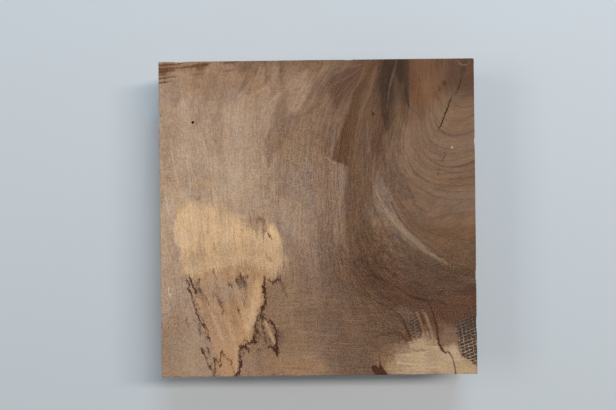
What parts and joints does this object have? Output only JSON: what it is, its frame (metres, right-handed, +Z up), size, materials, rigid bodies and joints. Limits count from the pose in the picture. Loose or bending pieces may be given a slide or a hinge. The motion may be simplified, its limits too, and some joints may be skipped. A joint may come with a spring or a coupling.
{
  "type": "wood turning blank",
  "caption": "Square sawn block of spalted hardwood with flat faces, a small worm hole and a short drying crack near one corner, for turning a bowl.",
  "frame": {"origin": "middle of the underside, the broad face that the block rests on", "axes": "+Z up through the thickness, +X left to right and +Y front to back along the two equal sides; the corner at +X +Y is the one nearest the knot"},
  "size_m": [0.2032, 0.2032, 0.0508],
  "materials": {
    "wood": "dry bare wood as the saw left it, brown heartwood round a knot, pale spalted patch, faint saw marks"
  },
  "bodies": {
    "root": {"blank": "wood"}
  },
  "joints": []
}
